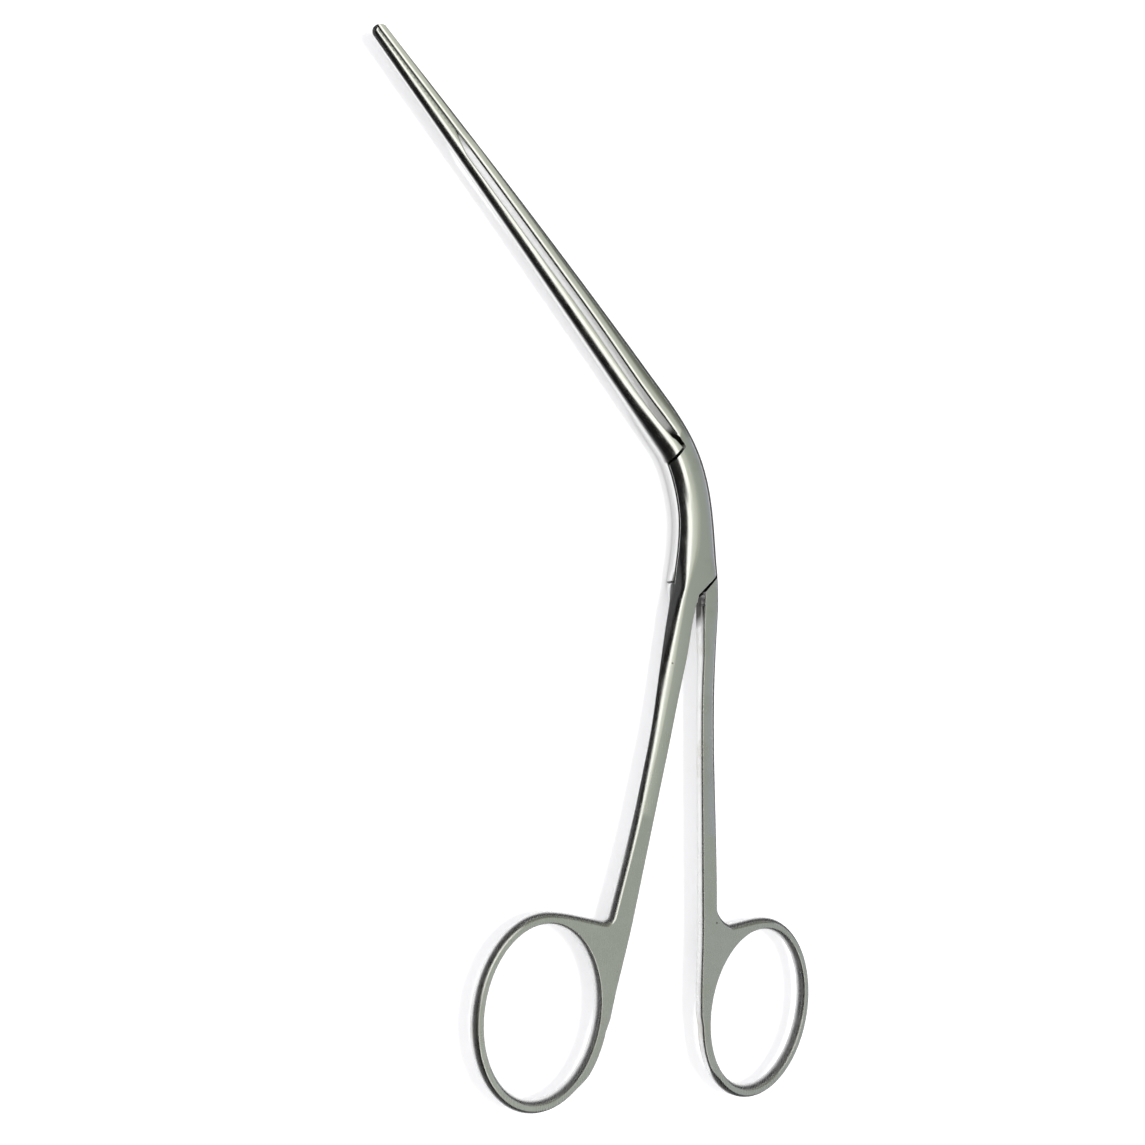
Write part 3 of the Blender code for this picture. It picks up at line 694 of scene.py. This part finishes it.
def crown_drop(along, across):
    """How far the crown lies below its top at a distance across the jaws' axis."""
    at = min(max(along, 0.0), NOSE_START)
    side = 1 if across > 0.0 else -1
    edge = jaw_point(at, side * jaw_edge_across(side, at))
    inset = jaw_edge_across(side, at) - abs(across)
    reach = rounding(edge)
    if inset >= reach:
        return 0.0
    first, last = crown_arc(edge)
    cosine = math.cos(first) - inset / reach * (math.cos(first) - math.cos(last))
    sine = math.sqrt(max(1.0 - cosine * cosine, 0.0))
    height = (sine - math.sin(first)) / (math.sin(last) - math.sin(first))
    return half_thickness(edge) * (1.0 - height)


def finger_hole(name, side):
    """Cutter for a finger ring's hole, with a rounded rim on the front."""
    low, high = RING_EDGE
    base = MID_HEIGHT - HANDLE_BACK
    start = MID_HEIGHT + SHANK_HALF_THICKNESS - RING_EDGE_RISE
    last = math.radians(RING_ARC[1])
    levels = [(base - 2.0, low + 0.3), (base, low + 0.3), (start, low)]
    for i in range(1, RIM_STEPS + 1):
        angle = last * i / RIM_STEPS
        reach = (1.0 - math.cos(angle)) / (1.0 - math.cos(last))
        levels.append((start + RING_EDGE_RISE * (math.sin(angle) / math.sin(last)), mix(low, high, reach)))
    levels.append((start + RING_EDGE_RISE + 2.0, high))
    angles = [-side * 2.0 * math.pi * i / RING_STEPS for i in range(RING_STEPS)]
    return loose_object(name, lofted([(*ring_point(side, a, inset), height) for a in angles]
                                     for height, inset in levels))


def rivet_profile(grow):
    top = MID_HEIGHT + JOINT_HALF_THICKNESS - RIVET_SKIN
    return [
        (RIVET_HEAD_RADIUS + grow, 0.0 if grow == 0.0 else -1.0),
        (RIVET_HEAD_RADIUS + grow, RIVET_LAND),
        (RIVET_RADIUS + grow, RIVET_HEAD_DEPTH),
        (RIVET_RADIUS + grow, top + grow),
    ]


def lengthwise_map(obj, side):
    """A UV map in millimetres, along and across the lever, which the grain follows round the bend."""
    mesh = obj.data
    layer = mesh.uv_layers.new(name="lengthwise")
    slope = math.tan(math.radians(SHANK_SPLAY))
    coords = []
    for vertex in mesh.vertices:
        p = Vector((vertex.co.x, vertex.co.y)) / MM
        along = (p - ROOT).dot(JAW_DIR)
        in_jaw = smooth_step(along, -GRAIN_TURN, GRAIN_TURN)
        across = mix(p.x - side * slope * p.y, (p - ROOT).dot(JAW_ACROSS), in_jaw)
        coords.append((mix(p.y, ROOT.y + along, in_jaw), across + vertex.co.z / MM))
    for loop in mesh.loops:
        layer.data[loop.index].uv = coords[loop.vertex_index]


def mark_teeth_shade(obj, sizes):
    """Mark the walls between the teeth, which are given painted shade."""
    mesh = obj.data
    layer = mesh.attributes.new("painted_teeth_shade", 'FLOAT', 'FACE')
    first = TEETH_END - 0.5
    reach = 0.5 * sizes.bite_gap / MM + sizes.tooth_depth / MM + 0.1
    for face in mesh.polygons:
        p = Vector((face.center.x, face.center.y)) / MM - ROOT
        along = p.dot(JAW_DIR)
        beside = abs(p.dot(JAW_ACROSS) - bite_across(along))
        if first < along and beside < reach and abs(face.normal.z) < 0.5:
            layer.data[face.index].value = 1.0


def dress(obj, material):
    obj.data.materials.clear()
    obj.data.materials.append(material)
    obj.data.shade_smooth()
    obj.data.set_sharp_from_angle(angle=math.radians(CREASE_ANGLE))


def build_lever(name, side, material, sizes):
    """side +1: right jaw, front half of the joint and left handle; -1: the other lever."""
    body = loose_object(name, forged_body())
    jaw_side, shank_side, lap = parting_outlines(side, sizes)
    split = MID_HEIGHT + side * 0.5 * LAP_GAP
    outer = MID_HEIGHT + side * 2.0 * JOINT_HALF_THICKNESS
    inner = MID_HEIGHT - side * 2.0 * JOINT_HALF_THICKNESS
    overlap = side * CUT_OVERLAP
    cut_and_apply(body, [
        (prism("jaw_parting", jaw_side, *sorted((split - overlap, outer))), 'MANIFOLD'),
        (prism("shank_parting", shank_side, *sorted((split - overlap, outer))), 'MANIFOLD'),
        (prism("lap", lap, *sorted((inner, split))), 'MANIFOLD'),
        (inner_rounding("inner_rounding", side, sizes), 'MANIFOLD'),
        (finger_hole("finger_hole", -side), 'EXACT'),
        (loose_object("bore", turned(rivet_profile(RIVET_CLEARANCE), TURNED_STEPS)), 'EXACT'),
    ])
    lengthwise_map(body, -side)
    mark_teeth_shade(body, sizes)
    dress(body, material)
    return body


# Materials

def node(tree, kind, links=(), **settings):
    """Add a node, set its properties or numbered and named inputs, and link its inputs."""
    made = tree.nodes.new(kind)
    for key, value in settings.items():
        if key.startswith("in_"):
            made.inputs[int(key[3:])].default_value = value
        else:
            setattr(made, key, value)
    for socket, source in links:
        tree.links.new(source, made.inputs[socket])
    return made


def satin_stainless(name, finish, roughness, seed):
    """Martensitic stainless steel, forged, belt-ground and brushed to a satin finish.

    The eye sees soft but bright highlights, a fine lengthwise grain in them, tiny
    pits and a faint dull stain here and there; the narrow gaps are darkened with painted shade.
    """
    material = bpy.data.materials.new(name)
    material.use_nodes = True
    tree = material.node_tree
    shader = tree.nodes["Principled BSDF"]
    shader.inputs["Metallic"].default_value = 1.0

    lengthwise = node(tree, "ShaderNodeUVMap", uv_map="lengthwise").outputs[0]
    place = node(tree, "ShaderNodeTexCoord").outputs["Object"]

    # brush lines: real ones are about 0.03 mm wide, drawn 0.12 mm wide and 4 mm long so that they show
    stretched = node(tree, "ShaderNodeMapping", [(0, lengthwise)], in_1=(seed, seed, 0.0), in_3=(0.25, 8.0, 1.0))
    grain = node(tree, "ShaderNodeTexNoise", [("Vector", stretched.outputs[0])], noise_dimensions='2D')
    grain.inputs["Scale"].default_value = 1.0
    grain.inputs["Detail"].default_value = 4.0
    grain.inputs["Roughness"].default_value = 0.65

    # mottling of the polish, patches of about 2 mm
    patches = node(tree, "ShaderNodeTexNoise", [("Vector", place)])
    patches.inputs["Scale"].default_value = 420.0
    patches.inputs["Detail"].default_value = 3.0

    # water stains, patches of about 12 mm, only their darkest parts show
    stains = node(tree, "ShaderNodeTexNoise", [("Vector", place)])
    stains.inputs["Scale"].default_value = 85.0
    stains.inputs["Detail"].default_value = 5.0
    stains.inputs["Roughness"].default_value = 0.6
    stained = node(tree, "ShaderNodeMapRange", [(0, stains.outputs[0])], in_1=0.58, in_2=0.78, in_3=0.0, in_4=0.5)

    # pits about 0.15 mm across, a few per square centimetre
    cells = node(tree, "ShaderNodeTexVoronoi", [("Vector", place)])
    cells.inputs["Scale"].default_value = 330.0
    chosen = node(tree, "ShaderNodeSeparateColor", [(0, cells.outputs["Color"])])
    rare = node(tree, "ShaderNodeMath", [(0, chosen.outputs[0])], operation='GREATER_THAN', in_1=0.86)
    near = node(tree, "ShaderNodeMapRange", [(0, cells.outputs["Distance"])], in_1=0.03, in_2=0.085, in_3=1.0, in_4=0.0)
    pits = node(tree, "ShaderNodeMath", [(0, rare.outputs[0]), (1, near.outputs[0])], operation='MULTIPLY')

    colour = node(tree, "ShaderNodeMix", [("Factor", stained.outputs[0])], data_type='RGBA')
    colour.inputs[6].default_value = (*finish.steel, 1.0)
    colour.inputs[7].default_value = (*finish.stain, 1.0)
    pitted = node(tree, "ShaderNodeMix", [("Factor", pits.outputs[0]), (6, colour.outputs[2])], data_type='RGBA')
    pitted.inputs[7].default_value = srgb("#4A463D")

    # painted shade: the base colour is darkened in the joint's gaps and other narrow crevices by ambient occlusion, on
    # the walls between the teeth by a face mark, and on the low walls at the crotch and the heel by spots
    open_sky = node(tree, "ShaderNodeAmbientOcclusion", samples=8)
    open_sky.inputs["Distance"].default_value = 0.7 * MM
    unoccluded = node(tree, "ShaderNodeMapRange", [(0, open_sky.outputs["AO"])], in_1=0.42, in_2=0.82, in_3=0.0, in_4=1.0)
    painted_shade_colour = node(tree, "ShaderNodeMix", [("Factor", unoccluded.outputs[0]), (7, pitted.outputs[2])], data_type='RGBA')
    # painted shade: near-black base colour where ambient occlusion finds other surfaces within 0.7 mm
    painted_shade_colour.inputs[6].default_value = srgb("#1A1916")
    # painted shade on the marked walls between the teeth
    painted_teeth_shade = node(tree, "ShaderNodeAttribute", attribute_name="painted_teeth_shade")
    painted_shade_colour = node(tree, "ShaderNodeMix", [("Factor", painted_teeth_shade.outputs["Fac"]), (6, painted_shade_colour.outputs[2])], data_type='RGBA')
    painted_shade_colour.inputs[7].default_value = srgb("#1F1E1A")
    height = node(tree, "ShaderNodeSeparateXYZ", [(0, place)]).outputs[2]
    below = node(tree, "ShaderNodeMapRange", [(0, height)], in_1=3.6 * MM, in_2=4.4 * MM, in_3=1.0, in_4=0.0)
    # painted shade on the low walls within reach of each spot, fading out above 3.6 to 4.4 mm
    for spot, reach in PAINTED_SHADE_SPOTS:
        away = node(tree, "ShaderNodeVectorMath", [(0, place)], operation='DISTANCE')
        away.inputs[1].default_value = Vector(spot) * MM
        within = node(tree, "ShaderNodeMapRange", [(0, away.outputs["Value"])],
                      in_1=reach * MM, in_2=2.0 * reach * MM, in_3=0.9, in_4=0.0)
        shaded = node(tree, "ShaderNodeMath", [(0, within.outputs[0]), (1, below.outputs[0])], operation='MULTIPLY')
        painted_shade_colour = node(tree, "ShaderNodeMix", [("Factor", shaded.outputs[0]), (6, painted_shade_colour.outputs[2])], data_type='RGBA')
        painted_shade_colour.inputs[7].default_value = srgb("#26251F")
    tree.links.new(painted_shade_colour.outputs[2], shader.inputs["Base Color"])

    worn = node(tree, "ShaderNodeMapRange", [(0, patches.outputs[0])],
                in_1=0.3, in_2=0.7, in_3=roughness - 0.03, in_4=roughness + 0.04)
    brushed = node(tree, "ShaderNodeMapRange", [(0, grain.outputs[0])], in_1=0.3, in_2=0.7, in_3=-0.03, in_4=0.04)
    total = node(tree, "ShaderNodeMath", [(0, worn.outputs[0]), (1, brushed.outputs[0])], operation='ADD')
    # the handles are brushed duller than the jaws and the joint
    y = node(tree, "ShaderNodeSeparateXYZ", [(0, place)]).outputs[1]
    handled = node(tree, "ShaderNodeMapRange", [(0, y)], in_1=-0.02, in_2=-0.075, in_3=0.0, in_4=0.09)
    total = node(tree, "ShaderNodeMath", [(0, total.outputs[0]), (1, handled.outputs[0])], operation='ADD')
    dull = node(tree, "ShaderNodeMath", [(0, stained.outputs[0]), (1, pits.outputs[0])], operation='MAXIMUM')
    rough = node(tree, "ShaderNodeMath", [(0, dull.outputs[0]), (2, total.outputs[0])],
                 operation='MULTIPLY_ADD', in_1=0.18)
    tree.links.new(rough.outputs[0], shader.inputs["Roughness"])

    # edges softened by the brush, shallow brush lines and pits
    edges = node(tree, "ShaderNodeBevel", samples=4)
    edges.inputs["Radius"].default_value = 0.18 * MM
    lines = node(tree, "ShaderNodeBump", [("Height", grain.outputs[0]), ("Normal", edges.outputs[0])])
    lines.inputs["Strength"].default_value = 0.025
    lines.inputs["Distance"].default_value = 0.01 * MM
    hollows = node(tree, "ShaderNodeBump", [("Height", pits.outputs[0]), ("Normal", lines.outputs[0])], invert=True)
    hollows.inputs["Strength"].default_value = 0.6
    hollows.inputs["Distance"].default_value = 0.05 * MM
    tree.links.new(hollows.outputs[0], shader.inputs["Normal"])
    return material


def paper_floor(finish):
    """Matt white backdrop paper, uncoated: the eye sees plain white with the steel's soft shadow on it.

    The steel's low reflections see it dark, as the photograph's steel reflects a
    dark ground that was replaced by white; steeper ones see it white.
    """
    material = bpy.data.materials.new("matt_backdrop_paper")
    material.use_nodes = True
    tree = material.node_tree
    shader = tree.nodes["Principled BSDF"]
    shader.inputs["Roughness"].default_value = 0.9
    shader.inputs["Specular IOR Level"].default_value = 0.1
    path = node(tree, "ShaderNodeLightPath")
    seen = node(tree, "ShaderNodeMath", [(0, path.outputs["Is Camera Ray"]), (1, path.outputs["Is Glossy Ray"])],
                operation='ADD')
    seen = node(tree, "ShaderNodeMath", [(0, seen.outputs[0]), (1, path.outputs["Is Transmission Ray"])],
                operation='ADD')
    slant = node(tree, "ShaderNodeLayerWeight", in_0=0.5)
    dark = node(tree, "ShaderNodeMapRange", [(0, slant.outputs["Facing"])], in_1=0.3, in_2=0.52, in_3=0.0, in_4=0.96)
    dark = node(tree, "ShaderNodeMath", [(0, dark.outputs[0]), (1, path.outputs["Is Glossy Ray"])],
                operation='MULTIPLY')
    pale = node(tree, "ShaderNodeMath", [(1, dark.outputs[0])], operation='SUBTRACT', in_0=1.0)
    lift = node(tree, "ShaderNodeMath", [(0, seen.outputs[0]), (1, pale.outputs[0])], operation='MULTIPLY')
    lift = node(tree, "ShaderNodeMath", [(0, lift.outputs[0])], operation='MULTIPLY', in_1=0.45)
    shade = node(tree, "ShaderNodeMix", [(0, pale.outputs[0])], data_type='RGBA')
    shade.inputs[6].default_value = srgb("#1C1C1E")
    shade.inputs[7].default_value = (*finish.floor, 1.0)
    tree.links.new(shade.outputs[2], shader.inputs["Base Color"])
    shader.inputs["Emission Color"].default_value = srgb("#FFFFFF")
    tree.links.new(lift.outputs[0], shader.inputs["Emission Strength"])
    return material


def studio_card(name, stops, strength=1.0):
    """Glowing cloth for a card that only reflections see, which paints the reflections of the studio's flags, softboxes
    and lit ceiling: stops of place and colour, from its low edge to its high edge.
    """
    material = bpy.data.materials.new(name)
    material.use_nodes = True
    tree = material.node_tree
    tree.nodes.clear()
    uv = node(tree, "ShaderNodeUVMap", uv_map="card")
    split = node(tree, "ShaderNodeSeparateXYZ", [(0, uv.outputs[0])])
    ramp = node(tree, "ShaderNodeValToRGB", [(0, split.outputs[1])])
    ramp.color_ramp.elements[0].position = stops[0][0]
    ramp.color_ramp.elements[0].color = srgb(stops[0][1])
    ramp.color_ramp.elements[1].position = stops[-1][0]
    ramp.color_ramp.elements[1].color = srgb(stops[-1][1])
    for position, colour in stops[1:-1]:
        ramp.color_ramp.elements.new(position).color = srgb(colour)
    glow = node(tree, "ShaderNodeEmission", [(0, ramp.outputs[0])], in_1=strength)
    node(tree, "ShaderNodeOutputMaterial", [(0, glow.outputs[0])])
    return material


# Stage

def card(name, azimuth, elevation, radius, material):
    """A curved card round the object, between two azimuths and two elevations in degrees."""
    bm = bmesh.new()
    layer = bm.loops.layers.uv.new("card")
    across = 24
    up = 12
    grid = []
    for j in range(up + 1):
        row = []
        e = math.radians(mix(*elevation, j / up))
        for i in range(across + 1):
            a = math.radians(mix(*azimuth, i / across))
            row.append(bm.verts.new((radius * math.cos(e) * math.cos(a), radius * math.cos(e) * math.sin(a),
                                     radius * math.sin(e))))
        grid.append(row)
    for j in range(up):
        for i in range(across):
            face = bm.faces.new((grid[j][i], grid[j][i + 1], grid[j + 1][i + 1], grid[j + 1][i]))
            for loop, (u, v) in zip(face.loops, ((i, j), (i + 1, j), (i + 1, j + 1), (i, j + 1))):
                loop[layer].uv = (u / across, v / up)
    obj = loose_object(name, bm)
    obj.data.materials.append(material)
    obj.visible_camera = False
    obj.visible_diffuse = False
    obj.visible_shadow = False
    obj.visible_transmission = False
    obj.visible_volume_scatter = False
    return obj


def lamp(name, place, target, size, power, glossy):
    data = bpy.data.lights.new(name, 'AREA')
    data.shape = 'RECTANGLE'
    data.size = size[0]
    data.size_y = size[1]
    data.energy = power
    obj = bpy.data.objects.new(name, data)
    obj.location = place
    obj.rotation_euler = (Vector(target) - Vector(place)).to_track_quat('-Z', 'Y').to_euler()
    obj.visible_glossy = glossy
    bpy.context.scene.collection.objects.link(obj)
    return obj


def set_world():
    """White for what the camera and reflections see, and a plain soft light for the rest."""
    world = bpy.data.worlds.new("pale_studio")
    world.use_nodes = True
    tree = world.node_tree
    tree.nodes.clear()
    path = node(tree, "ShaderNodeLightPath")
    seen = node(tree, "ShaderNodeMath", [(0, path.outputs["Is Camera Ray"]), (1, path.outputs["Is Glossy Ray"])],
                operation='ADD')
    seen = node(tree, "ShaderNodeMath", [(0, seen.outputs[0]), (1, path.outputs["Is Transmission Ray"])],
                operation='ADD', use_clamp=True)
    strength = node(tree, "ShaderNodeMapRange", [(0, seen.outputs[0])], in_3=0.62, in_4=1.0)
    back = node(tree, "ShaderNodeBackground", [(1, strength.outputs[0])], in_0=srgb("#FFFFFF"))
    node(tree, "ShaderNodeOutputWorld", [(0, back.outputs[0])])
    bpy.context.scene.world = world


def set_camera():
    data = bpy.data.cameras.new("photo_camera")
    data.sensor_width = 36.0
    data.sensor_fit = 'HORIZONTAL'
    data.lens = CAMERA_LENS
    data.clip_start = 0.005
    data.clip_end = 20.0
    camera = bpy.data.objects.new("photo_camera", data)
    axes = Matrix(CAMERA_AXES).transposed().to_4x4()
    camera.matrix_world = Matrix.Translation(Vector(CAMERA_PLACE) * MM) @ axes
    bpy.context.scene.collection.objects.link(camera)
    bpy.context.scene.camera = camera


# Operators

class FORCEPS_OT_levers(bpy.types.Operator):
    """Forge, part and finish the two levers"""
    bl_idname = "forceps.levers"
    bl_label = "Levers"

    def execute(self, context):
        sizes = context.scene.forceps_sizes
        finish = context.scene.forceps_finish
        for name, side, node_name, body, seed in (
                ("front_lever_forging", 1, "front_lever", "front", 3.0),
                ("rear_lever_forging", -1, "rear_lever", "rear", 11.0)):
            steel = satin_stainless("satin_brushed_stainless_" + body, finish, finish.satin, seed)
            lever = build_lever(name, side, steel, sizes)
            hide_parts(node_name)
            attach(lever, body)
        return {'FINISHED'}


class FORCEPS_OT_rivet(bpy.types.Operator):
    """Turn the rivet and grind it flush"""
    bl_idname = "forceps.rivet"
    bl_label = "Rivet"

    def execute(self, context):
        finish = context.scene.forceps_finish
        steel = satin_stainless("ground_stainless_rivet", finish, finish.satin - 0.06, 23.0)
        rivet = loose_object("rivet_ground_flush", turned(rivet_profile(0.0), TURNED_STEPS))
        lengthwise_map(rivet, 1)
        dress(rivet, steel)
        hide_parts("pivot_rivet")
        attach(rivet, "front")
        return {'FINISHED'}


class FORCEPS_OT_stage(bpy.types.Operator):
    """Lay the pale floor and set the camera, the lamps and the studio cards"""
    bl_idname = "forceps.stage"
    bl_label = "Stage"

    def execute(self, context):
        finish = context.scene.forceps_finish
        bm = bmesh.new()
        bmesh.ops.create_grid(bm, x_segments=2, y_segments=2, size=4.0)
        floor = loose_object("paper_floor", bm)
        floor.location.z = -0.05 * MM
        floor.data.materials.append(paper_floor(finish))
        set_world()
        set_camera()
        lamp("soft_key", (0.62, 0.2, 1.5), (0.0, -0.02, 0.0), (0.45, 0.45), 11.0, False)
        velvet = studio_card("black_velvet_flag", [(0.0, "#161616"), (1.0, "#0C0C0C")])
        softbox = studio_card("white_softbox_cloth", [(0.0, "#FFFFF6"), (1.0, "#F6F8EC")], 1.45)
        pale = studio_card("pale_ceiling_cloth", [
            (0.0, "#EEF1E6"), (0.2, "#DDE1D4"), (0.6, "#CDD1C2"), (1.0, "#B9BEB1")])
        grey = studio_card("grey_ceiling_cloth", [
            (0.0, "#A2A7AD"), (0.35, "#A0A6A6"), (0.55, "#9DA398"), (0.8, "#A9AFA4"), (1.0, "#B9BEB1")])
        olive = studio_card("olive_ceiling_cloth", [
            (0.0, "#63665C"), (0.3, "#7C8073"), (0.6, "#A2A799"), (1.0, "#B9BEB1")])
        for name, azimuth, elevation, radius, material in (
                ("dark_flag_left", (110.0, 192.0), (0.0, 28.0), 2.0, velvet),
                ("dark_flag_near", (192.0, 300.0), (0.0, 42.0), 2.0, velvet),
                ("softbox_left", (110.0, 192.0), (29.5, 47.0), 2.0, softbox),
                ("softbox_near", (192.0, 300.0), (43.5, 63.0), 1.9, softbox),
                ("pale_ceiling_left", (110.0, 298.0), (49.0, 89.0), 2.0, pale),
                ("grey_ceiling_right", (-62.0, 36.0), (6.0, 88.0), 2.0, grey),
                ("grey_ceiling_far", (36.0, 110.0), (2.0, 88.0), 2.0, olive)):
            card(name, azimuth, elevation, radius, material)
        bpy.context.scene.view_settings.view_transform = 'Standard'
        return {'FINISHED'}


class FORCEPS_PT_build(bpy.types.Panel):
    bl_label = "Forceps"
    bl_idname = "FORCEPS_PT_build"
    bl_space_type = 'VIEW_3D'
    bl_region_type = 'UI'
    bl_category = "Forceps"

    def draw(self, context):
        layout = self.layout
        for group in (context.scene.forceps_sizes, context.scene.forceps_finish):
            for name in group.__annotations__:
                layout.prop(group, name)
        for operator in OPERATORS:
            layout.operator(operator.bl_idname)


OPERATORS = (FORCEPS_OT_levers, FORCEPS_OT_rivet, FORCEPS_OT_stage)
CLASSES = (ForcepsSizes, ForcepsFinish) + OPERATORS + (FORCEPS_PT_build,)


def register():
    for cls in CLASSES:
        bpy.utils.register_class(cls)
    bpy.types.Scene.forceps_sizes = bpy.props.PointerProperty(type=ForcepsSizes)
    bpy.types.Scene.forceps_finish = bpy.props.PointerProperty(type=ForcepsFinish)


def unregister():
    del bpy.types.Scene.forceps_finish
    del bpy.types.Scene.forceps_sizes
    for cls in reversed(CLASSES):
        bpy.utils.unregister_class(cls)


def main():
    register()
    for operator in OPERATORS:
        group, name = operator.bl_idname.split(".")
        getattr(getattr(bpy.ops, group), name)()


if __name__ == "__main__":
    main()
